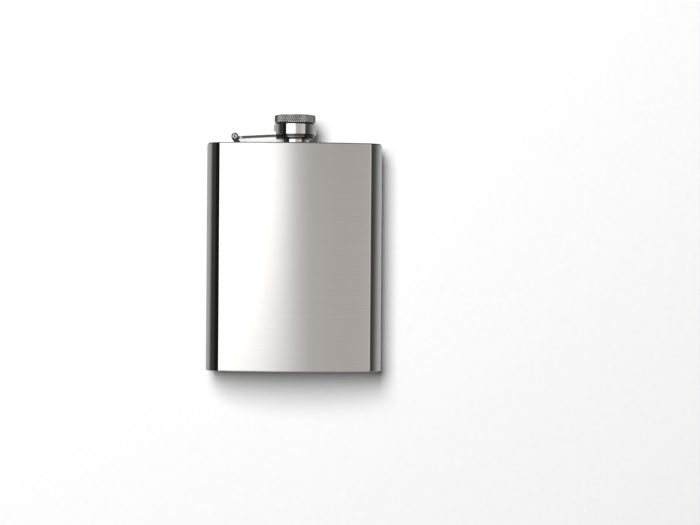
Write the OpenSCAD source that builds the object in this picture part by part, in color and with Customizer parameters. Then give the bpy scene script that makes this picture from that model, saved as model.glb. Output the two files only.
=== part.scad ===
// Curved steel hip flask with a captive screw cap on a hinged arm.
// It stands on its base: +Z runs up the neck, the brushed convex face looks along -Y,
// and the origin is the middle of the base.

/* [Flask body] */
// Width across the polished sides
body_w = 95; // [90:0.5:104]
// Height from the base to the shoulder
body_h = 123.2; // [100:0.1:160]
// Width of the brushed front face between its two creases
face_w = 81; // [78:0.5:84]
// How far the front face bows out between its creases
face_bow = 4.3; // [4:0.1:5]
// Radius of the rounded sides
side_r = 11.5; // [11:0.1:12]
// Width of the hollow back face between its two creases
back_w = 70; // [69:0.5:71]
// Depth of the body at its middle
waist_d = 23; // [22.9:0.1:23.5]
// Thickness of the sheet that the two shells are pressed from
sheet_t = 0.6; // [0.5:0.1:1]
// Thickness of the top and bottom plates
plate_t = 0.8; // [0.6:0.1:1.2]
// Depth of the turned-in rim on each plate
plate_rim = 2.5; // [1.5:0.5:5]

/* [Neck] */
// Outer radius of the neck under the cap
neck_r = 7.2; // [7:0.05:7.3]
// Outer radius of the neck's foot, on the shoulder
neck_foot_r = 7.5; // [7.4:0.05:8]
// Radius of the pouring bore
bore_r = 5.6; // [5:0.1:6]
// Height of the neck above the shoulder
neck_h = 8; // [7:0.1:8]

/* [Cap] */
// Outer radius of the knurled rim
knob_r = 11.05; // [11:0.05:12]
// Height of the knurled rim
knob_h = 4.15; // [3.2:0.05:5]
// Rise of the domed top above the rim
dome_h = 0.8; // [0.6:0.1:2.5]
// Outer radius of the polished collar
collar_r = 11.45; // [11.4:0.05:12]
// Height of the polished collar
collar_h = 5.35; // [5:0.05:6]
// Outer radius of the threaded insert's stem
stem_r = 8.9; // [8.8:0.05:8.95]
// Radius of the hole in the insert that passes over the neck
stem_bore_r = 7.9; // [7.8:0.05:8]
// Width of the dark washer's groove between collar and rim
groove_h = 0.85; // [0.7:0.05:1.5]

/* [Arm and hinge] */
// Distance from the cap's axis to the hinge pin
arm_reach = 32.5; // [30:0.5:36]
// Height of the hinge pin's axis above the shoulder
pin_h = 3.4; // [3.2:0.1:3.6]
// Radius of the hinge pin
pin_r = 0.7; // [0.6:0.05:0.8]
// Width of the arm's strip
arm_w = 5.5; // [5:0.1:6]
// Thickness of the arm
arm_t = 1.25; // [1:0.05:1.3]
// Height of the arm's flat ring above the shoulder
ring_h = 3.3; // [3.2:0.05:3.4]
// Inner radius of the arm's ring
ring_in_r = 9.3; // [9.3:0.05:9.4]
// Outer radius of the arm's ring
ring_r = 10.35; // [10.3:0.05:10.4]

/* [Hidden] */
$fn = 96;

over = 1;             // how far cutting shapes run past what they cut
run_gap = 0.04;       // radial gap of the pin in its holes
slip_gap = 0.05;      // gap between pieces that are pressed, welded or slipped together
edge = 0.25;          // small chamfer on the turned pieces

// The body's outline is made of arcs. The front face is an arc that bows out, each side is a
// disc, and the back face is an arc that bows in. Faces and sides meet at creases.
front_r = (pow(face_w / 2, 2) + pow(face_bow, 2)) / (2 * face_bow);
side_x = body_w / 2 - side_r;
side_rise = face_bow + sqrt(pow(side_r, 2) - pow(face_w / 2 - side_x, 2));
body_d = side_rise + side_r;
front_y = -body_d / 2;
side_y = front_y + side_rise;
back_bow = side_y + sqrt(pow(side_r, 2) - pow(side_x - back_w / 2, 2)) - (front_y + waist_d);
back_r = (pow(back_w / 2, 2) + pow(back_bow, 2)) / (2 * back_bow);
front_cy = front_y + front_r;
back_cy = front_y + waist_d + back_r;
// Half widths of the core, which ends inside the side discs
front_join = side_x * front_r / norm([side_x, front_cy - side_y]);
back_join = side_x * back_r / norm([side_x, back_cy - side_y]);
cap_y = front_y + waist_d / 2;   // the neck, cap, arm and hinge line up on this plane

// Heights up the neck
ring_z = body_h + ring_h;
retainer_t = 0.9;
retainer_z = ring_z - slip_gap - retainer_t;
collar_z = ring_z + arm_t + slip_gap;
washer_z = collar_z + collar_h;
knob_z = washer_z + groove_h;
neck_top = body_h + neck_h;
gasket_t = 1.15;
insert_ceiling = neck_top + slip_gap + gasket_t;
neck_foot_h = 1.9;
neck_flange_t = 0.8;
neck_flange_r = 9.3;  // the flange under the top plate

// Cap sections
collar_wall = 0.85;
collar_web = 0.8;
collar_notch_w = 10;
collar_notch_h = 2.1;
washer_r = 10.2;
knob_wall = 0.95;
knob_top_t = 0.7;      // thickness of the knob's top at its edge
head_h = knob_h - knob_top_t;
dome_r = (pow(knob_r - edge, 2) + pow(dome_h, 2)) / (2 * dome_h);
dome_fn = 360;        // the dome is a thin slice of a large sphere

// Hinge sections
pin_z = body_h + pin_h;
knuckle_t = 1.1;        // the strip thins a little where it rolls round the pin
knuckle_r = pin_r + run_gap + knuckle_t;
ear_r = 1.9;
ear_t = 0.8;
ear_gap = arm_w + 0.4;
bracket_t = 0.6;
bracket_foot = 3;     // the foot runs from just behind the pin's axis to this far in front of it
bracket_heel = 0.3;
pin_head_r = 1.35;
pin_head_t = 0.35;
arm_flat = 2.2;       // level stretch of the arm outside its ring
arm_drop = 0.6;       // how far the strip leaves its rolled end below the pin's axis

module kidney(inset) {
    difference() {
        intersection() {
            translate([0, front_cy]) circle(front_r - inset);
            union() {
                for (s = [-1, 1]) translate([s * side_x, side_y]) circle(side_r - inset);
                translate([-front_join, front_y - over]) square([2 * front_join, side_rise + over]);
                translate([-back_join, side_y - over]) square([2 * back_join, side_r + 2 * over]);
            }
        }
        translate([0, back_cy]) circle(back_r + inset);
    }
}

// One half of the wrapped sheet, on the given side of the seam along the rounded sides
module half_shell(side) {
    seam_y = side < 0 ? side_y - body_d : side_y;
    translate([0, 0, plate_t]) linear_extrude(body_h - 2 * plate_t) intersection() {
        difference() {
            kidney(0);
            kidney(sheet_t);
        }
        translate([-body_w, seam_y]) square([2 * body_w, body_d]);
    }
}

module front_shell() {
    color("lightgray") half_shell(-1);
}

module back_shell() {
    color("silver") half_shell(1);
}

// A flat plate with a rim that turns in behind the shells
module end_plate(rim_z) {
    linear_extrude(plate_t) kidney(0);
    translate([0, 0, rim_z]) linear_extrude(plate_rim) difference() {
        kidney(sheet_t + slip_gap);
        kidney(sheet_t + slip_gap + plate_t);
    }
}

module top_plate() {
    color("gainsboro") translate([0, 0, body_h - plate_t]) difference() {
        end_plate(-plate_rim);
        translate([0, cap_y, -over]) cylinder(r = neck_foot_r + slip_gap, h = plate_t + 2 * over);
    }
}

module bottom_plate() {
    color("gainsboro") end_plate(plate_t);
}

// Places round pieces of the neck and cap on their common axis, at a given height
module on_neck(z) {
    translate([0, cap_y, z]) children();
}

module neck() {
    flange_z = body_h - plate_t - slip_gap - neck_flange_t;
    color("whitesmoke") on_neck(flange_z) difference() {
        union() {
            cylinder(r = neck_flange_r, h = neck_flange_t);
            cylinder(r = neck_foot_r, h = body_h + neck_foot_h - flange_z);
            cylinder(r = neck_r, h = neck_top - flange_z);
        }
        translate([0, 0, -over]) cylinder(r = bore_r, h = neck_top - flange_z + 2 * over);
    }
}

// A cylinder of the given length along Y, centred on the hinge pin's axis
module on_pin(r, length) {
    translate([-arm_reach, cap_y, pin_z]) rotate([90, 0, 0])
        cylinder(r = r, h = length, center = true);
}

// Side view of an ear: a round eye that leans back from the foot
module ear_outline() {
    translate([-arm_reach, pin_z]) circle(ear_r);
    polygon([
        [-arm_reach - ear_r * cos(45), pin_z - ear_r * sin(45)],
        [-arm_reach - bracket_heel, body_h],
        [-arm_reach + bracket_foot, body_h],
        [-arm_reach + bracket_foot, body_h + bracket_t],
        [-arm_reach + ear_r, pin_z]
    ]);
}

module hinge_bracket() {
    outer = ear_gap + 2 * ear_t;
    color("dimgray") difference() {
        translate([0, cap_y + outer / 2, 0]) rotate([90, 0, 0]) linear_extrude(outer) ear_outline();
        translate([-arm_reach - 2 * ear_r, cap_y - ear_gap / 2, body_h + bracket_t])
            cube([2 * ear_r + 2 * bracket_foot, ear_gap, pin_h + 2 * ear_r]);
        on_pin(pin_r + run_gap, 2 * outer);
    }
}

module hinge_pin() {
    grip = ear_gap + 2 * ear_t + 2 * slip_gap;
    color("silver") {
        on_pin(pin_r, grip + 2 * pin_head_t);
        for (s = [-1, 1]) translate([0, s * (grip + pin_head_t) / 2, 0]) on_pin(pin_head_r, pin_head_t);
    }
}

module cap_arm() {
    ring_side = ring_r + arm_flat;
    ring_end = (ring_r + ring_in_r) / 2;
    color("darkgray") difference() {
        union() {
            on_pin(knuckle_r, arm_w);
            translate([0, cap_y + arm_w / 2, 0]) rotate([90, 0, 0]) linear_extrude(arm_w) polygon([
                [-arm_reach, pin_z - arm_drop - arm_t / 2],
                [-ring_side, ring_z],
                [-ring_end, ring_z],
                [-ring_end, ring_z + arm_t],
                [-ring_side, ring_z + arm_t],
                [-arm_reach, pin_z - arm_drop + arm_t / 2]
            ]);
            on_neck(ring_z) difference() {
                cylinder(r = ring_r, h = arm_t);
                translate([0, 0, -over]) cylinder(r = ring_in_r, h = arm_t + 2 * over);
            }
        }
        on_pin(pin_r + run_gap, 2 * arm_w);
    }
}

// The collar is a cup that sits over the arm's ring. Its notch straddles the arm, so the collar
// stays still while the knob turns.
module cap_collar() {
    color("white") on_neck(collar_z) difference() {
        rotate_extrude() polygon([
            [collar_r - collar_wall, 0],
            [collar_r - edge, 0],
            [collar_r, edge],
            [collar_r, collar_h - edge],
            [collar_r - edge, collar_h],
            [stem_r + slip_gap, collar_h],
            [stem_r + slip_gap, collar_h - collar_web],
            [collar_r - collar_wall, collar_h - collar_web]
        ]);
        translate([-2 * collar_r, -collar_notch_w / 2, -over])
            cube([2 * collar_r - ring_in_r, collar_notch_w, collar_notch_h + over]);
    }
}

module spacer_washer() {
    color("black") on_neck(washer_z + slip_gap) difference() {
        cylinder(r = washer_r, h = groove_h - 2 * slip_gap);
        translate([0, 0, -over]) cylinder(r = stem_r + slip_gap, h = groove_h + 2 * over);
    }
}

module cap_knob() {
    color("gray") on_neck(knob_z) difference() {
        union() {
            rotate_extrude() polygon([
                [0, 0],
                [knob_r - edge, 0],
                [knob_r, edge],
                [knob_r, knob_h - edge],
                [knob_r - edge, knob_h],
                [0, knob_h]
            ]);
            intersection() {
                translate([0, 0, knob_h + dome_h - dome_r]) sphere(r = dome_r, $fn = dome_fn);
                translate([0, 0, knob_h - edge]) cylinder(r = knob_r - edge, h = dome_h + over);
            }
        }
        translate([0, 0, -over]) cylinder(r = knob_r - knob_wall, h = head_h + slip_gap + over);
    }
}

// The stem passes over the neck and through the arm's ring, and the head fills the knob
module thread_insert() {
    color("lightgray") on_neck(retainer_z) difference() {
        union() {
            cylinder(r = stem_r, h = knob_z + head_h - retainer_z);
            translate([0, 0, knob_z - retainer_z])
                cylinder(r = knob_r - knob_wall - slip_gap, h = head_h);
        }
        translate([0, 0, -over]) cylinder(r = stem_bore_r, h = insert_ceiling - retainer_z + over);
    }
}

module retaining_ring() {
    color("dimgray") on_neck(retainer_z) difference() {
        cylinder(r = ring_r, h = retainer_t);
        translate([0, 0, -over]) cylinder(r = stem_r + slip_gap, h = retainer_t + 2 * over);
    }
}

module gasket() {
    color("ivory") on_neck(neck_top + slip_gap)
        cylinder(r = stem_bore_r - slip_gap, h = gasket_t - slip_gap);
}

front_shell();
back_shell();
top_plate();
bottom_plate();
neck();
hinge_bracket();
hinge_pin();
cap_arm();
cap_collar();
spacer_washer();
cap_knob();
thread_insert();
retaining_ring();
gasket();
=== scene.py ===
"""Looks of the curved steel hip flask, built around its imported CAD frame."""

import math

import bmesh
import bpy
from mathutils import Matrix, Vector


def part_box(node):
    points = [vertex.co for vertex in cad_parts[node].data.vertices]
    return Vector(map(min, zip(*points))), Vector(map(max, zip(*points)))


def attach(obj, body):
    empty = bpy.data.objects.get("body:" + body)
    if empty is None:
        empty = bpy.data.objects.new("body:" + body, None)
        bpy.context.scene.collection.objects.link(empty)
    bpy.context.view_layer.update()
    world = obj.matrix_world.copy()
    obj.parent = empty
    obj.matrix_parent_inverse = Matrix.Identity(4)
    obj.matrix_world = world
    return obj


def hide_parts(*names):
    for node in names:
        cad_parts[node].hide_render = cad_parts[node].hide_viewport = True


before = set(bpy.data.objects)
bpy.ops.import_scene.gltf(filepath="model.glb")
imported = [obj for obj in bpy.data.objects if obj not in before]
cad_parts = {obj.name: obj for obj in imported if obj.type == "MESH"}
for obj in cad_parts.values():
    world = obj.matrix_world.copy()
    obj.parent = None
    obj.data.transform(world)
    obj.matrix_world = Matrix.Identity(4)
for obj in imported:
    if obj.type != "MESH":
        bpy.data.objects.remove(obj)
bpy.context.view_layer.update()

MM = 0.001

# ---------------------------------------------------------------- sizes, in millimetres


def node_box(node):
    """A CAD node's lowest and highest corners, in millimetres."""
    low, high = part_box(node)
    return low / MM, high / MM


BASE_LOW, BASE_HIGH = node_box("bottom_plate")
SHOULDER = node_box("top_plate")[1].z
HALF_W = BASE_HIGH.x
HALF_D = BASE_HIGH.y
SHELL_T = 0.6

# The body's outline is made of arcs, as in the frame: a bowed front, round sides and a hollow back
FACE_HALF, FACE_BOW = 40.5, 4.3
SIDE_R = 11.5
BACK_HALF, WAIST = 35.0, 23.0
FRONT_R = (FACE_HALF ** 2 + FACE_BOW ** 2) / (2 * FACE_BOW)
SIDE_X = HALF_W - SIDE_R
SIDE_Y = HALF_D - SIDE_R
BACK_BOW = SIDE_Y + math.sqrt(SIDE_R ** 2 - (SIDE_X - BACK_HALF) ** 2) - (WAIST - HALF_D)
BACK_R = (BACK_HALF ** 2 + BACK_BOW ** 2) / (2 * BACK_BOW)
FRONT_C = Vector((0, FRONT_R - HALF_D))
BACK_C = Vector((0, WAIST - HALF_D + BACK_R))
CREASE_R = 0.7
EDGE_R = 0.55
PLATE_T = 0.8
# How far a plate's rim runs along the shells, and the gap between the two
PLATE_RIM, PLATE_GAP = 3.3, 0.05
# The shoulder's rounded corners. The rounding fades out over EASE_RUN, and ends EASE_DEPTH down
CORNER_R = 1.8
EASE_DEPTH, EASE_RUN = 3.2, 2.0

# The neck and cap share one axis; the hinge pin crosses it
NECK_LOW, NECK_HIGH = node_box("neck")
AXIS_Y = (NECK_LOW.y + NECK_HIGH.y) / 2
NECK_TOP = NECK_HIGH.z
PIN_LOW, PIN_HIGH = node_box("hinge_pin")
PIN_X = (PIN_LOW.x + PIN_HIGH.x) / 2
PIN_Z = (PIN_LOW.z + PIN_HIGH.z) / 2
PIN_R = 0.7
THREAD_PITCH = 1.2

# ---------------------------------------------------------------- mesh tools


def mesh_object(name, verts, faces, slots=None):
    """A mesh object from millimetre points; slots gives each face's material slot."""
    mesh = bpy.data.meshes.new(name)
    mesh.from_pydata([Vector(v) * MM for v in verts], [], faces)
    if slots:
        mesh.polygons.foreach_set("material_index", slots)
    obj = bpy.data.objects.new(name, mesh)
    bpy.context.scene.collection.objects.link(obj)
    return obj


def tidy(obj, angle=30):
    """Welds doubles, turns faces outward, and shades smoothly up to the given edge angle."""
    bm = bmesh.new()
    bm.from_mesh(obj.data)
    bmesh.ops.remove_doubles(bm, verts=bm.verts, dist=1e-7)
    bmesh.ops.recalc_face_normals(bm, faces=bm.faces)
    for face in bm.faces:
        face.smooth = True
    for edge in bm.edges:
        edge.smooth = edge.calc_face_angle(0) < math.radians(angle)
    bm.to_mesh(obj.data)
    bm.free()
    return obj


def bake_modifiers(obj):
    """Replaces an object's mesh with what its modifiers make of it."""
    bpy.context.view_layer.update()
    shaped = obj.evaluated_get(bpy.context.evaluated_depsgraph_get())
    obj.data = bpy.data.meshes.new_from_object(shaped)
    obj.modifiers.clear()
    return obj


def combine(obj, other, operation):
    """Adds or cuts another closed mesh, which is then deleted."""
    modifier = obj.modifiers.new("combine", "BOOLEAN")
    modifier.operation = operation
    modifier.solver = "EXACT"
    modifier.object = other
    bake_modifiers(obj)
    bpy.data.objects.remove(other)
    return obj


def bevel(obj, width, segments=3, angle=35):
    """Rounds the sharp edges by a width in millimetres."""
    tidy(obj)
    modifier = obj.modifiers.new("round", "BEVEL")
    modifier.width = width * MM
    modifier.segments = segments
    modifier.limit_method = "ANGLE"
    modifier.angle_limit = math.radians(angle)
    modifier.use_clamp_overlap = True
    return tidy(bake_modifiers(obj), 50)


def arc(centre, radius, start, end, steps):
    """Points along an arc, from one angle to another, in radians."""
    return [
        Vector((centre[0] + radius * math.cos(a), centre[1] + radius * math.sin(a)))
        for a in (start + (end - start) * i / steps for i in range(steps + 1))
    ]


def rounded(points, steps=4):
    """A closed outline from (x, y, corner radius) points."""
    out = []
    for i, (x, y, radius) in enumerate(points):
        here = Vector((x, y))
        before = Vector(points[i - 1][:2]) - here
        after = Vector(points[(i + 1) % len(points)][:2]) - here
        if radius <= 0:
            out.append(here)
            continue
        half = before.angle(after) / 2
        reach = min(radius / math.tan(half), before.length * 0.49, after.length * 0.49)
        radius = reach * math.tan(half)
        a, b = here + before.normalized() * reach, here + after.normalized() * reach
        inward = (before.normalized() + after.normalized()).normalized()
        centre = here + inward * radius / math.sin(half)
        start = math.atan2(a.y - centre.y, a.x - centre.x)
        turn = math.atan2(b.y - centre.y, b.x - centre.x) - start
        turn = (turn + math.pi) % (2 * math.pi) - math.pi
        out += arc(centre, radius, start, start + turn, steps)
    return out


def lathe(name, profile, steps=144, shape=None):
    """Turns a closed (radius, height) outline about the cap's axis. Points on the axis close it.
    shape(radius, height, angle) may move a point's radius."""
    verts, faces, rings = [], [], []
    for radius, height in profile:
        if radius < 1e-6:
            rings.append([len(verts)])
            verts.append((0, AXIS_Y, height))
            continue
        ring = []
        for i in range(steps):
            a = 2 * math.pi * i / steps
            r = shape(radius, height, a) if shape else radius
            ring.append(len(verts))
            verts.append((r * math.cos(a), AXIS_Y + r * math.sin(a), height))
        rings.append(ring)
    for low, high in zip(rings, rings[1:] + rings[:1]):
        if len(low) == 1 and len(high) == 1:
            continue
        for i in range(steps):
            j = (i + 1) % steps
            corners = [
                low[i % len(low)], low[j % len(low)], high[j % len(high)], high[i % len(high)],
            ]
            faces.append(list(dict.fromkeys(corners)))
    return tidy(mesh_object(name, verts, faces))


def extrude_y(name, outline, y0, y1):
    """A solid with an (x, z) outline between two depths."""
    n = len(outline)
    verts = [(p[0], y, p[1]) for y in (y0, y1) for p in outline]
    faces = [list(range(n)), list(range(n, 2 * n))]
    faces += [[i, (i + 1) % n, n + (i + 1) % n, n + i] for i in range(n)]
    return tidy(mesh_object(name, verts, faces))


def box_solid(name, low, high):
    """A plain box, used to cut other solids."""
    outline = [(low[0], low[2]), (high[0], low[2]), (high[0], high[2]), (low[0], high[2])]
    return extrude_y(name, outline, low[1], high[1])


# ---------------------------------------------------------------- materials

# A Mix node's colour sockets by index, as its sockets for values have the same names
MIX_A, MIX_B, MIX_OUT = 6, 7, 2


class Nodes:
    """A material's node tree, with short calls to add and join nodes."""

    def __init__(self, name):
        self.material = bpy.data.materials.new(name)
        self.material.use_nodes = True
        self.tree = self.material.node_tree
        self.shader = self.tree.nodes["Principled BSDF"]

    def add(self, kind, **values):
        node = self.tree.nodes.new("ShaderNode" + kind)
        for key, value in values.items():
            if hasattr(node, key):
                setattr(node, key, value)
            else:
                node.inputs[key.replace("_", " ")].default_value = value
        return node

    def join(self, source, target):
        self.tree.links.new(source, target)

    def place(self, scale):
        """Object coordinates in millimetres, stretched by a scale for each axis."""
        mapping = self.add("Mapping")
        mapping.inputs["Scale"].default_value = [s / MM for s in scale]
        self.join(self.add("TexCoord").outputs["Object"], mapping.inputs["Vector"])
        return mapping.outputs["Vector"]

    def noise(self, scale, detail=3, roughness=0.6):
        """Noise with the given waves per millimetre along each axis."""
        node = self.add("TexNoise", Scale=1.0, Detail=detail, Roughness=roughness)
        self.join(self.place(scale), node.inputs["Vector"])
        return node.outputs["Fac"]

    def ramp(self, value, low, high, start=0.3, end=0.7):
        """A value spread from low to high between two places of the source."""
        node = self.add("MapRange")
        self.join(value, node.inputs["Value"])
        places = (("From Min", start), ("From Max", end), ("To Min", low), ("To Max", high))
        for key, amount in places:
            node.inputs[key].default_value = amount
        return node.outputs["Result"]

    def mix(self, a, b, factor):
        """Mixes two values."""
        node = self.add("Mix", data_type="FLOAT")
        node.inputs["Factor"].default_value = factor
        self.join(a, node.inputs["A"])
        self.join(b, node.inputs["B"])
        return node.outputs["Result"]

    def tint(self, value, dark, light):
        """A colour between two colours."""
        node = self.add("ValToRGB")
        node.color_ramp.elements[0].color = (*dark, 1)
        node.color_ramp.elements[1].color = (*light, 1)
        self.join(value, node.inputs["Fac"])
        return node.outputs["Color"]

    def bump(self, height, depth, normal=None):
        """A bump of a depth in millimetres."""
        node = self.add("Bump", Strength=1.0, Distance=depth * MM)
        self.join(height, node.inputs["Height"])
        if normal:
            self.join(normal, node.inputs["Normal"])
        return node.outputs["Normal"]


def metal(name, tone, rough, streak=None, aniso=0.0, turn=0.0, wave=0.0, depth=0.0):
    """A steel finish. tone is (dark, light) base colours and rough (low, high) roughness. streak is
    the waves per millimetre of its scratches along X, Y and Z."""
    n = Nodes(name)
    shader = n.shader
    shader.inputs["Metallic"].default_value = 1.0
    streak = streak or (0.35, 0.35, 0.35)
    fine = n.noise(streak, 4, 0.7)
    broad = n.noise([s * 0.3 for s in streak], 3, 0.6)
    both = n.mix(fine, broad, 0.35)
    n.join(n.tint(n.ramp(both, 0, 1), *tone), shader.inputs["Base Color"])
    n.join(n.ramp(both, *rough), shader.inputs["Roughness"])
    if aniso:
        shader.inputs["Anisotropic"].default_value = aniso
        shader.inputs["Anisotropic Rotation"].default_value = turn
        tangent = n.add("Tangent", direction_type="RADIAL", axis="Z")
        n.join(tangent.outputs["Tangent"], shader.inputs["Tangent"])
    normal = None
    if wave:
        normal = n.bump(n.noise((0.05, 0.05, 0.03), 2), wave)
    if depth:
        normal = n.bump(fine, depth, normal=normal)
        normal = n.bump(broad, depth * 0.35, normal=normal)
    if normal:
        n.join(normal, shader.inputs["Normal"])
    return n.material


def paint_groove_shade(material, attribute, colour):
    """Paints shade into a material's colour: darkens it by a mesh attribute that runs from 0 on top to 1
    in the grooves, where shade falls.
    """
    tree = material.node_tree
    socket = tree.nodes["Principled BSDF"].inputs["Base Color"]
    source = socket.links[0].from_socket
    mask = tree.nodes.new("ShaderNodeAttribute")
    mask.attribute_name = attribute
    mix = tree.nodes.new("ShaderNodeMix")
    mix.data_type = "RGBA"
    mix.inputs[MIX_B].default_value = (*colour, 1)
    tree.links.new(mask.outputs["Fac"], mix.inputs["Factor"])
    tree.links.new(source, mix.inputs[MIX_A])
    tree.links.new(mix.outputs[MIX_OUT], socket)


def plain(name, tone, rough, grain=1.5, depth=0.02):
    """Moulded plastic or rubber with a fine grain."""
    n = Nodes(name)
    speck = n.noise((grain, grain, grain), 4)
    n.join(n.tint(n.ramp(speck, 0, 1), *tone), n.shader.inputs["Base Color"])
    n.join(n.ramp(speck, *rough), n.shader.inputs["Roughness"])
    n.join(n.bump(speck, depth), n.shader.inputs["Normal"])
    return n.material


STEEL = ((0.64, 0.628, 0.615), (0.71, 0.698, 0.685))
BRIGHT = ((0.67, 0.665, 0.65), (0.73, 0.725, 0.71))
# RIM_SHADE: a darker copy of the steel for the shoulder's rounded rim, painted shade along its top edge.
RIM_SHADE = ((0.30, 0.295, 0.29), (0.38, 0.375, 0.37))
# DULL_AND_SHADED: a much darker steel for the arm's cut edges, partly a duller sheared finish and partly
# painted shade.
DULL_AND_SHADED = ((0.08, 0.078, 0.075), (0.13, 0.128, 0.125))
DARK = ((0.035, 0.034, 0.032), (0.08, 0.078, 0.076))

brushed = metal("brushed_face", STEEL, (0.14, 0.19), (0.012, 0.012, 3.0), 0.75, 0.25, depth=0.006)
polished = metal("polished_side", BRIGHT, (0.04, 0.07), (0.5, 0.5, 0.012))
edge_steel = metal("polished_edge", BRIGHT, (0.12, 0.18), (0.4, 0.4, 0.4))
shaded_rim_steel = metal("plate_rim", RIM_SHADE, (0.16, 0.24), (0.4, 0.4, 0.4))
satin_top = metal("satin_plate", STEEL, (0.24, 0.34), (0.03, 2.5, 2.5), depth=0.003)
chrome = metal("polished_turned", BRIGHT, (0.03, 0.06), (0.3, 0.3, 1.8), wave=0.004)
knurled = metal("knurled_rim", BRIGHT, (0.22, 0.32), (1.2, 1.2, 1.2))
# Painted shade: the knurl's grooves are darkened in their colour, most at the bottom of each groove.
paint_groove_shade(knurled, "depth", (0.07, 0.068, 0.065))
domed = metal("satin_dome", STEEL, (0.20, 0.30), (2.0, 2.0, 0.3), 0.5, 0.25, depth=0.002)
strip_steel = metal("arm_strip", STEEL, (0.12, 0.20), (0.05, 2.2, 2.2))
# Partly painted shade: the cut edges' steel is darker than a sheared finish alone.
sheared_and_shaded = metal("sheared_edge_and_painted_shade", DULL_AND_SHADED, (0.22, 0.34), (0.3, 2.5, 2.5), depth=0.003)
hinge_steel = metal("hinge_steel", DARK, (0.22, 0.38), (0.9, 0.9, 0.9), depth=0.004)
insert_steel = metal("machined_insert", STEEL, (0.18, 0.28), (0.3, 0.3, 3.0), depth=0.003)
washer_black = plain("black_washer", ((0.012, 0.012, 0.012), (0.03, 0.03, 0.03)), (0.45, 0.6))
silicone = plain("white_silicone", ((0.72, 0.71, 0.67), (0.82, 0.81, 0.77)), (0.45, 0.6), 0.8)
silicone.node_tree.nodes["Principled BSDF"].inputs["Subsurface Weight"].default_value = 0.15


def dress(obj, body, slot, materials, *nodes):
    """Gives a piece its materials and its body, and hides the CAD nodes it stands for. The slot argument
    is not used. Broad faces set the shading, so that flats stay flat beside small rounded edges."""
    for material in materials:
        obj.data.materials.append(material)
    weigh = obj.modifiers.new("weigh", "WEIGHTED_NORMAL")
    weigh.keep_sharp = True
    weigh.weight = 100
    bake_modifiers(obj)
    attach(obj, body)
    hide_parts(*nodes)
    return obj


# ---------------------------------------------------------------- body


def meet(c1, r1, c2, r2):
    """Where two circles cross, on the side away from the middle plane."""
    line = c2 - c1
    d = line.length
    along = (d * d + r1 * r1 - r2 * r2) / (2 * d)
    across = math.sqrt(max(r1 * r1 - along * along, 0))
    foot = c1 + line * along / d
    normal = Vector((-line.y, line.x)) / d
    return max((foot + normal * across, foot - normal * across), key=lambda p: p.x)


def between(centre, a, b, steps):
    """Arc points from a to b the short way round a centre."""
    start = math.atan2(a.y - centre.y, a.x - centre.x)
    turn = math.atan2(b.y - centre.y, b.x - centre.x) - start
    turn = (turn + math.pi) % (2 * math.pi) - math.pi
    return arc(centre, (a - centre).length, start, start + turn, steps)


def half_outline(inset, half):
    """The right half of the outline from the middle plane to the side seam, as (point, zone) pairs.
    half is "front" or "back". Zone 0 is the flat face, 1 the crease and 2 the round side."""
    side_c = Vector((SIDE_X, SIDE_Y))
    side = SIDE_R - inset
    sign = 1 if half == "front" else -1
    centre = FRONT_C if half == "front" else BACK_C
    face = (FRONT_R if half == "front" else BACK_R) - sign * inset
    crease = meet(centre, face - sign * CREASE_R, side_c, side - CREASE_R)
    on_face = crease + (crease - centre).normalized() * CREASE_R * sign
    on_side = crease + (crease - side_c).normalized() * CREASE_R
    middle = Vector((0, centre.y - face))
    seam = Vector((SIDE_X + side, SIDE_Y))
    points = [(p, 0) for p in between(centre, middle, on_face, 48)]
    points += [(p, 1) for p in between(crease, on_face, on_side, 5)[1:]]
    points += [(p, 2) for p in between(side_c, on_side, seam, 22)[1:]]
    return points


def run_outline(inset, half):
    """One shell's outline from the left seam to the right seam, with the zone of each stretch."""
    right = half_outline(inset, half)
    left = [(Vector((-p.x, p.y)), zone) for p, zone in right]
    points = [p for p, _ in reversed(left)] + [p for p, _ in right[1:]]
    zones = [zone for _, zone in reversed(left[1:])] + [zone for _, zone in right[1:]]
    return points, zones


def loop_outline(inset):
    """The whole outline as a loop."""
    front = run_outline(inset, "front")[0]
    back = run_outline(inset, "back")[0]
    return front + list(reversed(back))[1:-1]


def shell(name, half, low, high):
    """A shell as a closed solid, with two extra loops near its top and bottom."""
    sections = []
    for inset in (0, SHELL_T):
        points, zones = run_outline(inset, half)
        sections.append(points)
    outer, inner = sections
    ring = outer + list(reversed(inner))
    count = len(outer)
    levels = [low, low + 0.1, high - 0.1, high]
    verts, faces, slots = [], [], []
    for z in levels:
        verts += [(p.x, p.y, z) for p in ring]
    n = len(ring)
    for k in range(len(levels) - 1):
        for i in range(n):
            j = (i + 1) % n
            faces.append([k * n + i, k * n + j, (k + 1) * n + j, (k + 1) * n + i])
            slots.append(zones[i] if i < count - 1 else 0)
    for base in (0, (len(levels) - 1) * n):
        for i in range(count - 1):
            faces.append([base + i, base + i + 1, base + n - 2 - i, base + n - 1 - i])
            slots.append(0)
    return tidy(mesh_object(name, verts, faces, slots), 40)


def stack(stations, ring_points):
    """Verts and side faces of loops at (inset, z) stations; ring_points(inset) gives each loop."""
    verts, faces = [], []
    n = 0
    for inset, z in stations:
        points = ring_points(inset)
        n = len(points)
        verts += [(p.x, p.y, z) for p in points]
    for k in range(len(stations) - 1):
        for i in range(n):
            j = (i + 1) % n
            faces.append([k * n + i, k * n + j, (k + 1) * n + j, (k + 1) * n + i])
    return verts, faces, n


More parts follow.
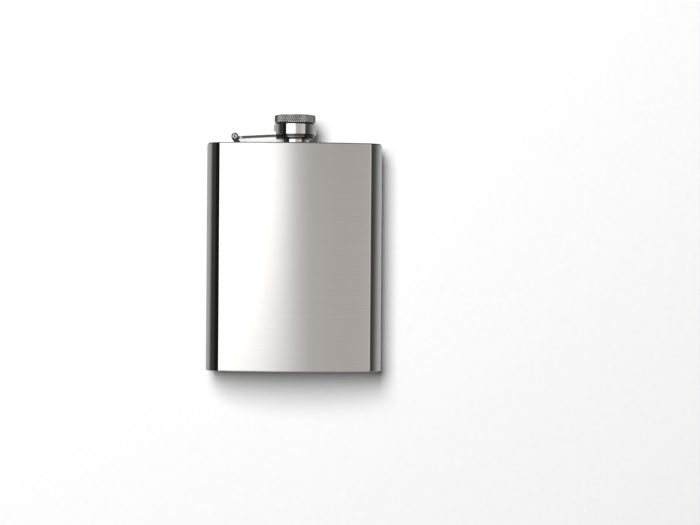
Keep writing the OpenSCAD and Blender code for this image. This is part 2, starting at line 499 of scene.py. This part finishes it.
def end_plate(name, z, up, hole_r=0.0):
    """A pressed end plate at height z, whose rounded rim runs on from the shells. up is 1 for the
    shoulder and -1 for the base."""
    corner = arc((EDGE_R, -EDGE_R), EDGE_R, math.pi, math.pi / 2, 7)
    inside = SHELL_T + PLATE_GAP
    stations = [
        (inside + PLATE_T, -PLATE_T), (inside + PLATE_T, -PLATE_RIM),
        (inside, -PLATE_RIM), (inside, -EDGE_R),
    ]
    stations += [(p.x, p.y) for p in corner]
    rim_end = len(stations) - 1
    # Flat loops just inside the rim, which the shoulder's corners need for their rounding
    flat_loops, flat_step = 5, 0.25
    stations += [(EDGE_R + flat_step * k, 0) for k in range(1, flat_loops + 1)]
    stations = [(inset, z + up * depth) for inset, depth in stations]
    verts, faces, n = stack(stations, loop_outline)
    slots = [1 if i < rim_end * n else 0 for i in range(len(faces))]
    last = (len(stations) - 1) * n
    if hole_r:
        hub = Vector((0, AXIS_Y))
        for base in (last, 0):
            start = len(verts)
            for x, y, height in verts[base:base + n]:
                spoke = (Vector((x, y)) - hub).normalized() * hole_r + hub
                verts.append((spoke.x, spoke.y, height))
            for i in range(n):
                j = (i + 1) % n
                faces.append([base + i, base + j, start + j, start + i])
                slots.append(0)
        top, under = len(verts) - 2 * n, len(verts) - n
        for i in range(n):
            j = (i + 1) % n
            faces.append([top + i, top + j, under + j, under + i])
            slots.append(0)
    else:
        faces += [list(range(last, last + n)), list(range(n))]
        slots += [0, 0]
    return tidy(mesh_object(name, verts, faces, slots), 40)


def ease_corners(obj):
    """Rounds the shoulder down where it meets the polished sides."""
    for vertex in obj.data.vertices:
        x, _, z = vertex.co / MM
        across = min(abs(x) - (HALF_W - CORNER_R), CORNER_R)
        share = min(1, max(0, (z - SHOULDER + EASE_DEPTH) / EASE_RUN))
        if across > 0 and share > 0:
            vertex.co.z -= share * (CORNER_R - math.sqrt(CORNER_R ** 2 - across ** 2)) * MM
    return obj


def build_body():
    neck_hole = 7.55
    low, high = BASE_LOW.z + EDGE_R, SHOULDER - EDGE_R
    faces = (brushed, edge_steel, polished)
    front = ease_corners(shell("front_skin", "front", low, high))
    dress(front, "flask", "brushed_steel", faces, "front_shell")
    back = ease_corners(shell("back_skin", "back", low, high))
    dress(back, "flask", "brushed_steel", faces, "back_shell")
    shoulder = ease_corners(end_plate("shoulder_skin", SHOULDER, 1, hole_r=neck_hole))
    # The shoulder's rim takes the darker steel, painted shade; the base's rim keeps the bright edge
    # steel.
    dress(shoulder, "flask", "satin_plate", (satin_top, shaded_rim_steel), "top_plate")
    base = end_plate("base_skin", BASE_LOW.z, -1)
    dress(base, "flask", "satin_plate", (satin_top, edge_steel), "bottom_plate")


# ---------------------------------------------------------------- neck


def helix(name, radius, low, high, pitch, height, inward=False):
    """A screw thread: a triangular ridge wound round the axis, tapering in at both ends."""
    steps = 72
    turns = (high - low) / pitch
    total = int(turns * steps)
    side = -1 if inward else 1
    verts, faces = [], []
    for i in range(total + 1):
        a = 2 * math.pi * i / steps
        z = low + (high - low) * i / total
        grow = min(1, i / (steps / 4), (total - i) / (steps / 4))
        crest = radius + side * height * grow
        root = radius - side * 0.08
        for r, dz in ((root, -0.42), (crest, -0.1), (crest, 0.1), (root, 0.42)):
            level = z + dz * max(grow, 0.2) * pitch
            verts.append((r * math.cos(a), AXIS_Y + r * math.sin(a), level))
    for i in range(total):
        for k in range(4):
            m = (k + 1) % 4
            faces.append([4 * i + k, 4 * i + m, 4 * i + 4 + m, 4 * i + 4 + k])
    faces += [[0, 1, 2, 3], [4 * total + k for k in range(4)]]
    return tidy(mesh_object(name, verts, faces), 20)


def join_meshes(obj, other):
    """Moves another object's mesh into obj, as a separate closed part of it."""
    bm = bmesh.new()
    bm.from_mesh(obj.data)
    bm.from_mesh(other.data)
    bm.to_mesh(obj.data)
    bm.free()
    bpy.data.objects.remove(other)
    return obj


def build_neck():
    foot, tube, bore, flange = 7.5, 7.2, 5.6, 9.3
    flange_top = SHOULDER - PLATE_T - PLATE_GAP
    foot_top, tube_low = SHOULDER + 1.9, SHOULDER + 2.1
    top = NECK_TOP
    profile = rounded([
        (bore, NECK_LOW.z, 0), (flange, NECK_LOW.z, 0), (flange, flange_top, 0),
        (foot, flange_top, 0), (foot, foot_top, 0.2),
        (tube, tube_low, 0.1), (tube, top, 0.45), (bore, top, 0.45),
    ])
    neck = lathe("neck_turned", [tuple(p) for p in profile])
    join_meshes(neck, helix("thread", tube, SHOULDER + 3.6, top - 1.1, THREAD_PITCH, 0.34))
    bead = [(foot + 0.28 + 0.42 * math.cos(a), SHOULDER + 0.1 + 0.3 * math.sin(a))
            for a in (2 * math.pi * i / 12 for i in range(12))]
    ripple = lathe("weld_bead", bead, 180, lambda r, h, a: r + 0.035 * math.sin(60 * a))
    join_meshes(neck, ripple)
    dress(neck, "flask", "polished_steel", (chrome,), "neck")


# ---------------------------------------------------------------- cap


def triangle_wave(x):
    return abs((x % 1.0) * 2 - 1)


def build_knob():
    low, high = node_box("cap_knob")
    rim = high.x
    wall, top_wall, edge, dome = 0.95, 0.65, 0.3, 0.8
    shoulder = high.z - dome
    # Knurls round the rim and the height of one; how steep, how deep and how soft at the ends they
    # are; and the depths at which the painted shade in their grooves starts and how soon it is full
    around, tall = 60, 2.12
    flank, cut_depth, fade = 1.8, 0.27, 0.2
    groove_shade_start, groove_shade_run = 0.08, 0.18
    band_low, band_high = low.z + edge, shoulder - edge
    rows = 32
    dome_r = ((rim - edge) ** 2 + dome ** 2) / (2 * dome)
    lip = math.asin((rim - edge - 0.35) / dome_r)
    profile = [(0, high.z)]
    profile += [(dome_r * math.sin(lip * i / 16), high.z - dome_r * (1 - math.cos(lip * i / 16)))
                for i in range(1, 17)]
    profile += [(rim - edge, shoulder), (rim - edge * 0.3, shoulder - edge * 0.35)]
    profile += [(rim, band_high - (band_high - band_low) * i / rows) for i in range(rows + 1)]
    profile += [(rim - edge * 0.3, low.z + edge * 0.35), (rim - edge, low.z)]
    cavity = shoulder - top_wall
    profile += [(rim - wall, low.z), (rim - wall, cavity), (0, cavity)]

    def knurl(radius, height, angle):
        if radius < rim - edge * 0.5 or not band_low <= height <= band_high:
            return radius
        u = angle / (2 * math.pi) * around
        v = height / tall
        cut = min(1, flank * min(triangle_wave(u + v), triangle_wave(u - v)))
        ends = min(1, (height - band_low) / fade, (band_high - height) / fade)
        return radius - cut_depth * (1 - cut) * max(ends, 0)

    knob = lathe("cap_knob_turned", profile, around * 10, knurl)
    # The depth attribute is the mask of the painted shade in the knurl's grooves.
    depth = knob.data.attributes.new("depth", "FLOAT", "POINT")
    for vertex, value in zip(knob.data.vertices, depth.data):
        across = math.hypot(vertex.co.x, vertex.co.y - AXIS_Y * MM) / MM
        inside = low.z + edge * 0.5 < vertex.co.z / MM < shoulder - edge * 0.5
        share = min(1, max(0, (rim - across - groove_shade_start) / groove_shade_run))
        value.value = share if inside and across > rim - edge else 0
    for polygon in knob.data.polygons:
        centre = polygon.center / MM
        on_rim = math.hypot(centre.x, centre.y - AXIS_Y) > rim - edge * 1.4
        polygon.material_index = 0 if on_rim and centre.z < shoulder + 0.02 else 1
    dress(knob, "cap", "knurled_steel", (knurled, domed), "cap_knob")


def build_collar():
    low, high = node_box("cap_collar")
    outer, wall, web, hole = high.x, 0.85, 0.8, 8.95
    profile = [(outer, low.z), (outer, high.z), (hole, high.z), (hole, high.z - web),
               (outer - wall, high.z - web), (outer - wall, low.z)]
    collar = lathe("cap_collar_turned", profile, 180)
    # The notch that the arm enters by: how near the axis it comes, half its width and its height
    notch_in, notch_half, notch_h = 9.3, 5, 2.1
    notch = box_solid("notch", (-2 * outer, AXIS_Y - notch_half, low.z - 1),
                      (-notch_in, AXIS_Y + notch_half, low.z + notch_h))
    combine(collar, notch, "DIFFERENCE")
    dress(bevel(collar, 0.22), "arm", "polished_steel", (chrome,), "cap_collar")


def build_cap_inside():
    hole = 8.95
    low, high = node_box("spacer_washer")
    # The washer is black; partly its own colour, partly a dark part standing in for the shade in the gap
    # between knob and collar.
    washer = lathe("spacer_washer_cut", [tuple(p) for p in rounded([
        (hole, low.z, 0.1), (high.x, low.z, 0.3), (high.x, high.z, 0.3), (hole, high.z, 0.1)])])
    dress(washer, "cap", "black_plastic", (washer_black,), "spacer_washer")

    low, high = node_box("retaining_ring")
    ring = lathe("retaining_ring_cut", [tuple(p) for p in rounded([
        (hole, low.z, 0.1), (high.x, low.z, 0.28), (high.x, high.z, 0.3), (hole, high.z, 0.1)])])
    # Painted highlight and shade: the ring's top edge takes the light strip steel and the rest the dark
    # hinge steel, as light falls on it.
    highlight_band_depth = 0.32
    for polygon in ring.data.polygons:
        polygon.material_index = 1 if polygon.center.z / MM > high.z - highlight_band_depth else 0
    dress(ring, "cap", "hinge_steel", (hinge_steel, strip_steel), "retaining_ring")

    low, high = node_box("thread_insert")
    stem, bore, ceiling = 8.9, 7.9, NECK_TOP + 1.2
    head = node_box("cap_knob")[0].z
    profile = rounded([
        (bore, low.z, 0.3), (stem, low.z, 0.15), (stem, head, 0), (high.x, head, 0),
        (high.x, high.z, 0.2),
    ])
    profile = [tuple(p) for p in profile] + [(0, high.z), (0, ceiling), (bore, ceiling)]
    insert = lathe("thread_insert_turned", profile)
    thread_low, thread_high = low.z + 1.0, NECK_TOP - 1.5
    thread = helix("female", bore, thread_low, thread_high, THREAD_PITCH, 0.22, inward=True)
    join_meshes(insert, thread)
    dress(insert, "cap", "polished_steel", (insert_steel,), "thread_insert")

    low, high = node_box("gasket")
    disc = [(0, low.z), (5.2, low.z), (5.5, low.z + 0.12), (5.8, low.z)]
    disc += [(high.x - 0.2, low.z), (high.x, low.z + 0.2), (high.x, high.z), (0, high.z)]
    dress(lathe("gasket_disc", disc), "cap", "gasket_silicone", (silicone,), "gasket")


# ---------------------------------------------------------------- arm and hinge


def ribbon(name, line, thicknesses, y0, y1):
    """A bent strip: a centre line in (x, z) with a thickness at each point, between two depths."""
    sections = []
    for i, point in enumerate(line):
        along = (line[min(i + 1, len(line) - 1)] - line[max(i - 1, 0)]).normalized()
        side = Vector((-along.y, along.x)) * thicknesses[i] / 2
        a, b = point + side, point - side
        sections.append([(a.x, y0, a.y), (b.x, y0, b.y), (b.x, y1, b.y), (a.x, y1, a.y)])
    verts = [corner for section in sections for corner in section]
    faces = [[0, 1, 2, 3], [len(verts) - 4 + k for k in range(4)]]
    for i in range(len(line) - 1):
        for k in range(4):
            m = (k + 1) % 4
            faces.append([4 * i + k, 4 * i + m, 4 * i + 4 + m, 4 * i + 4 + k])
    return tidy(mesh_object(name, verts, faces))


def build_arm():
    """A strip with a flat ring at one end; the other end dips and rolls round the pin."""
    ring_in, ring_out = 9.3, node_box("cap_arm")[1].x
    top = node_box("cap_collar")[0].z - 0.05
    thick, rolled, width = 1.25, 1.05, 5.5
    level = top - thick / 2
    centre = Vector((PIN_X, PIN_Z))
    wrap = PIN_R + 0.05 + rolled / 2
    # The flat stretch beside the ring, the length of the bend to the pin, and its curve's handles
    flat, bend, handle = 2.2, 4.6, 1.6
    slope_start = Vector((-ring_out - flat, level))
    slope = Vector((PIN_X, PIN_Z - 0.6)) - slope_start
    dip = slope_start + slope * (1 - bend / slope.length)
    start, end = math.radians(-62), math.radians(-338)
    meet_point = centre + Vector((math.cos(start), math.sin(start))) * wrap
    heading = Vector((math.sin(start), -math.cos(start)))
    pull = slope.normalized() * handle
    line = [Vector((-(ring_out + ring_in) / 2, level)), slope_start]
    line += [slope_start.lerp(dip, k / 6) for k in range(1, 7)]
    for k in range(1, 11):
        t = k / 11
        a, b, c, d = dip, dip + pull, meet_point - heading * handle, meet_point
        near_dip = a * (1 - t) ** 3 + b * 3 * t * (1 - t) ** 2
        line.append(near_dip + c * 3 * t * t * (1 - t) + d * t ** 3)
    line += arc(centre, wrap, start, end, 36)
    thinning = [thick + (rolled - thick) * k / 11 for k in range(1, 11)]
    thicknesses = [thick] * 8 + thinning + [rolled] * 37
    strip = ribbon("cap_arm_strip", line, thicknesses, AXIS_Y - width / 2, AXIS_Y + width / 2)
    bottom = top - thick
    ring = lathe("ring", [(ring_in, bottom), (ring_out, bottom), (ring_out, top), (ring_in, top)], 160)
    combine(strip, ring, "UNION")
    bevel(strip, 0.22)
    # Painted shade and highlight: the cut edges of the strip and ring take the much darker sheared
    # steel, partly a duller finish and partly painted shade; a patch near the bend keeps the light steel
    # as a painted highlight.
    highlight_start, highlight_end = PIN_X + 2.6, PIN_X + 3.9
    for polygon in strip.data.polygons:
        middle, facing = polygon.center / MM, polygon.normal
        on_ring = math.hypot(middle.x, middle.y - AXIS_Y) < ring_out + 0.05
        in_highlight = highlight_start < middle.x < highlight_end
        shaded_cut_edge = abs(facing.z) < 0.5 if on_ring else abs(facing.y) > 0.8 and not in_highlight
        polygon.material_index = 1 if shaded_cut_edge else 0
    dress(strip, "arm", "arm_steel", (strip_steel, sheared_and_shaded), "cap_arm")


def build_hinge():
    low, high = node_box("hinge_bracket")
    ear_r, ear_t, foot_t = 1.9, 0.8, 0.6
    ear = arc((PIN_X, PIN_Z), ear_r, math.radians(-15), math.radians(222), 32)
    outline = [tuple(p) for p in ear]
    outline += [(PIN_X - 0.3, low.z + 0.5), (PIN_X - 0.3, low.z), (PIN_X + 3.0, low.z)]
    outline += [(PIN_X + 3.0, low.z + foot_t), (PIN_X + 2.3, low.z + 1.1)]
    bracket = extrude_y("hinge_bracket_bent", outline, low.y, high.y)
    gap = box_solid("gap", (PIN_X - 5, low.y + ear_t, low.z + foot_t),
                    (PIN_X + 6, high.y - ear_t, PIN_Z + 5))
    combine(bracket, gap, "DIFFERENCE")
    dress(bevel(bracket, 0.18), "flask", "hinge_steel", (hinge_steel,), "hinge_bracket")

    # The pin is a rivet with a hollow, flared end on each side
    half = (PIN_HIGH.y - PIN_LOW.y) / 2
    flare = [(0, 0.5), (0.36, 0.5), (0.42, 0.42), (0.42, 0.12)]
    # The flare is half an ellipse, round its middle and with its two half widths
    (mid_r, mid_h), (half_r, half_h) = (0.885, 0.12), (0.465, 0.22)
    for k in range(1, 12):
        a = math.pi * k / 12
        flare.append((mid_r - half_r * math.cos(a), mid_h - half_h * math.sin(a)))
    flare += [(1.35, 0.14), (1.35, 0.3), (1.3, 0.35), (PIN_R, 0.35)]
    profile = [(r, depth - half) for r, depth in flare]
    profile += [(r, half - depth) for r, depth in reversed(flare)]
    pin = lathe("hinge_pin_riveted", profile, 48)
    # Painted shade: the hollows in the rivet's ends take the dark hinge steel.
    hollow_r, hollow_depth = 0.425, 0.6
    for polygon in pin.data.polygons:
        middle = polygon.center / MM
        within = math.hypot(middle.x, middle.y - AXIS_Y) < hollow_r
        in_shaded_hollow = within and abs(middle.z) > half - hollow_depth
        polygon.material_index = 1 if in_shaded_hollow else 0
    turn = Matrix.Translation((0, -AXIS_Y * MM, 0))
    place = Matrix.Translation(Vector((PIN_X, AXIS_Y, PIN_Z)) * MM)
    pin.data.transform(place @ Matrix.Rotation(math.pi / 2, 4, "X") @ turn)
    dress(pin, "flask", "polished_steel", (chrome, hinge_steel), "hinge_pin")


build_body()
build_neck()
build_knob()
build_collar()
build_cap_inside()
build_arm()
build_hinge()

# ---------------------------------------------------------------- table, light and camera


def build_table():
    """The pale surface that the flask lies on with its hollow back down. It shows from above only,
    and leaves the light on the flask alone."""
    y = (HALF_D + 0.05) * MM
    size = 3.0
    verts = [(-size, y, -size), (size, y, -size), (size, y, size), (-size, y, size)]
    table = mesh_object("table", [Vector(v) / MM for v in verts], [[0, 1, 2, 3]])
    n = Nodes("pale_table")
    grain = n.noise((0.3, 0.3, 0.3), 3)
    pale = n.tint(n.ramp(grain, 0, 1), (0.86, 0.86, 0.86), (0.88, 0.88, 0.88))
    n.join(pale, n.shader.inputs["Base Color"])
    n.shader.inputs["Roughness"].default_value = 0.9
    n.shader.inputs["Specular IOR Level"].default_value = 0.1
    side = n.add("NewGeometry").outputs["Backfacing"]
    mix = n.add("MixShader")
    n.join(side, mix.inputs["Fac"])
    n.join(n.shader.outputs["BSDF"], mix.inputs[1])
    n.join(n.add("BsdfTransparent").outputs["BSDF"], mix.inputs[2])
    out = n.tree.nodes["Material Output"]
    n.join(mix.outputs["Shader"], out.inputs["Surface"])
    table.data.materials.append(n.material)
    for rays in ("diffuse", "glossy", "transmission", "shadow"):
        setattr(table, "visible_" + rays, False)


# The studio round the flask, as (degrees from straight ahead of the front face, brightness, warmth):
# grey room behind on the left, a black flag, a pale wall ahead, the warm room to the right, dark
# stands, and the pale wall behind on the right. Its levels are fitted to the brightness of
# the metal in the photograph. Two colour ramps share the stops, the first of them STUDIO_SPLIT
STUDIO = [
    (-180, 0.48, 0), (-137, 0.50, 0), (-121, 0.47, 0), (-112, 0.35, 0), (-105, 0.22, 0), (-101, 0.15, 0),
    (-97, 0.07, 0), (-90, 0.05, 0), (-79, 0.055, 0), (-72, 0.03, 0), (-66, 0.012, 0), (-50.5, 0.010, 0),
    (-47.5, 0.92, 0), (-12, 0.96, 0), (0, 0.86, 0.1), (6, 0.68, 0.8),
    (9.5, 0.63, 1), (17.6, 0.60, 1), (26, 0.61, 1), (31, 0.66, 0.8), (38, 0.70, 0.4), (50, 0.80, 0),
    (54.5, 0.72, 0), (57.5, 0.06, 0), (66, 0.06, 0), (74, 0.09, 0), (82, 0.12, 0), (88, 0.19, 0),
    (101, 0.30, 0), (112, 0.42, 0), (128, 0.52, 0), (180, 0.55, 0),
]
STUDIO_SPLIT = 16
# How much upright edges lean, from LEAN_FROM degrees round and in full LEAN_RUN degrees further on.
# Heights beyond RISE_LIMIT, in radians, count as RISE_LIMIT
STUDIO_LEAN = 0.9
LEAN_FROM, LEAN_RUN = 55, 30
RISE_LIMIT = 0.15
# The big white panel in front of the left wall: its brightness, and where it starts and ends in
# degrees, with the width of each soft edge. Its right edge is curved, in degrees of elevation
PANEL = 1.15
PANEL_LEFT, PANEL_LEFT_SOFT = -50.5, 2.5
PANEL_EDGE = (-3.6, 2.4, -0.36)
PANEL_RIGHT, PANEL_RIGHT_SOFT = 2.5, 6.0
# How bright the studio is by height, as (sine of the elevation, share)
HEIGHTS = [
    (-1, 0.7), (-0.4, 0.7), (-0.12, 0.97), (0.1, 1), (0.2, 0.3),
    (0.4, 0.2), (0.55, 0.9), (0.7, 1), (0.8, 0.4), (1, 0.6),
]
WARM = Vector((1.0, 0.954, 0.915))
WHITE = (1.0, 1.0, 1.0, 1.0)
# The weak even sky on matt surfaces, and the plain pale that the camera sees
SKY = 0.07
BACKDROP = (0.9, 0.9, 0.9, 1.0)


def build_world():
    """What the metal reflects, spread round the upright axis. The edges of the panels lean. The camera
    itself sees plain pale, and matt surfaces are lit by a weaker, even sky."""
    world = bpy.data.worlds.new("studio")
    world.use_nodes = True
    bpy.context.scene.world = world
    tree = world.node_tree
    tree.nodes.clear()
    add = tree.nodes.new

    def calc(operation, *values):
        node = add("ShaderNodeMath")
        node.operation = operation
        for socket, value in zip(node.inputs, values):
            if isinstance(value, (int, float)):
                socket.default_value = value
            else:
                tree.links.new(value, socket)
        return node.outputs[0]

    def background(colour, strength):
        node = add("ShaderNodeBackground")
        for socket, value in ((node.inputs["Color"], colour), (node.inputs["Strength"], strength)):
            if isinstance(value, (float, tuple)):
                socket.default_value = value
            else:
                tree.links.new(value, socket)
        return node.outputs["Background"]

    split = add("ShaderNodeSeparateXYZ")
    tree.links.new(add("ShaderNodeTexCoord").outputs["Generated"], split.inputs["Vector"])
    x, y, z = (split.outputs[k] for k in "XYZ")
    around = calc("MULTIPLY", calc("ARCTAN2", x, calc("MULTIPLY", y, -1.0)), 180 / math.pi)
    clamped = calc("MINIMUM", calc("MAXIMUM", z, -RISE_LIMIT), RISE_LIMIT)
    rise = calc("MULTIPLY", clamped, 180 / math.pi)
    # Edges lean only round the sides; straight ahead they stand upright
    sideways = calc("MULTIPLY", calc("SUBTRACT", calc("ABSOLUTE", around), LEAN_FROM), 1 / LEAN_RUN)
    leaning = calc("MINIMUM", calc("MAXIMUM", sideways, 0), 1)
    lean = calc("MULTIPLY", calc("MULTIPLY", rise, STUDIO_LEAN), leaning)
    turned = calc("SUBTRACT", around, lean)
    place = calc("ADD", calc("DIVIDE", turned, 360), 0.5)
    colours = []
    for part in (STUDIO[:STUDIO_SPLIT], STUDIO[STUDIO_SPLIT:]):
        ramp = add("ShaderNodeValToRGB")
        elements = ramp.color_ramp.elements
        while len(elements) < len(part):
            elements.new(1.0)
        for k in range(len(part) - 1, -1, -1):
            elements[k].position = (part[k][0] + 180) / 360
        for element, (angle, level, warmth) in zip(elements, part):
            tone = Vector((1, 1, 1)).lerp(WARM, warmth) * level
            element.color = (*tone, 1)
        tree.links.new(calc("FRACT", place), ramp.inputs["Fac"])
        colours.append(ramp.outputs["Color"])
    half = add("ShaderNodeMix")
    half.data_type = "RGBA"
    border = (STUDIO[STUDIO_SPLIT - 1][0] + 180) / 360
    tree.links.new(calc("GREATER_THAN", calc("FRACT", place), border), half.inputs["Factor"])
    tree.links.new(colours[0], half.inputs[MIX_A])
    tree.links.new(colours[1], half.inputs[MIX_B])

    lift = add("ShaderNodeFloatCurve")
    curve = lift.mapping.curves[0]
    for k, (height, share) in enumerate(HEIGHTS):
        spot = ((height + 1) / 2, share)
        if 0 < k < len(HEIGHTS) - 1:
            curve.points.new(*spot)
        else:
            curve.points[-1 if k else 0].location = spot
    lift.mapping.update()
    tree.links.new(calc("MULTIPLY", calc("ADD", z, 1.0), 0.5), lift.inputs["Value"])
    base, slope, bend = PANEL_EDGE
    steepness = calc("ADD", slope, calc("MULTIPLY", rise, bend))
    curve_out = calc("ADD", base, calc("MULTIPLY", rise, steepness))
    to_right = calc("SUBTRACT", calc("ADD", curve_out, PANEL_RIGHT), around)
    right = calc("DIVIDE", to_right, PANEL_RIGHT_SOFT)
    left = calc("DIVIDE", calc("SUBTRACT", around, PANEL_LEFT), PANEL_LEFT_SOFT)
    inside = calc("MINIMUM", calc("MAXIMUM", calc("MINIMUM", right, left), 0), 1)
    both = calc("MULTIPLY", calc("MULTIPLY", inside, PANEL), lift.outputs["Value"])
    total = add("ShaderNodeAddShader")
    tree.links.new(background(half.outputs[MIX_OUT], lift.outputs["Value"]), total.inputs[0])
    tree.links.new(background(WHITE, both), total.inputs[1])
    studio = total.outputs["Shader"]
    rays = add("ShaderNodeLightPath")
    matt = add("ShaderNodeMixShader")
    tree.links.new(rays.outputs["Is Diffuse Ray"], matt.inputs["Fac"])
    tree.links.new(studio, matt.inputs[1])
    tree.links.new(background(WHITE, SKY), matt.inputs[2])
    mix = add("ShaderNodeMixShader")
    tree.links.new(rays.outputs["Is Camera Ray"], mix.inputs["Fac"])
    tree.links.new(matt.outputs["Shader"], mix.inputs[1])
    tree.links.new(background(BACKDROP, 1.0), mix.inputs[2])
    out = add("ShaderNodeOutputWorld")
    tree.links.new(mix.outputs["Shader"], out.inputs["Surface"])


def aim(obj, target):
    obj.rotation_euler = (Vector(target) - obj.location).to_track_quat("-Z", "Y").to_euler()


def build_lights():
    """One soft light from the upper left, which the metal doesn't reflect: it casts the shadow."""
    key_data = bpy.data.lights.new("key", "AREA")
    key_data.shape = "RECTANGLE"
    key_data.size, key_data.size_y = 0.99, 1.52
    key_data.energy = 56
    key = bpy.data.objects.new("key", key_data)
    key.location = (-0.58, -1.76, 0.86)
    aim(key, (0, 0, 0.06))
    key.visible_glossy = False
    bpy.context.scene.collection.objects.link(key)


def build_camera():
    """From one metre in front, a little to the left and level with the lower half of the flask."""
    distance, height, aside = 0.990, SHOULDER * MM - 0.0645, -0.026
    camera_data = bpy.data.cameras.new("camera")
    camera_data.sensor_width = 36
    camera_data.lens = 93.7
    camera_data.shift_x = 0.0801
    camera_data.clip_start = 0.01
    camera = bpy.data.objects.new("camera", camera_data)
    camera.location = (aside, SIDE_Y * MM - distance, height)
    camera.rotation_euler = (math.pi / 2, math.radians(-0.4), math.atan(aside / distance))
    bpy.context.scene.collection.objects.link(camera)
    bpy.context.scene.camera = camera


build_table()
build_world()
build_lights()
build_camera()
bpy.context.scene.view_settings.view_transform = "Standard"
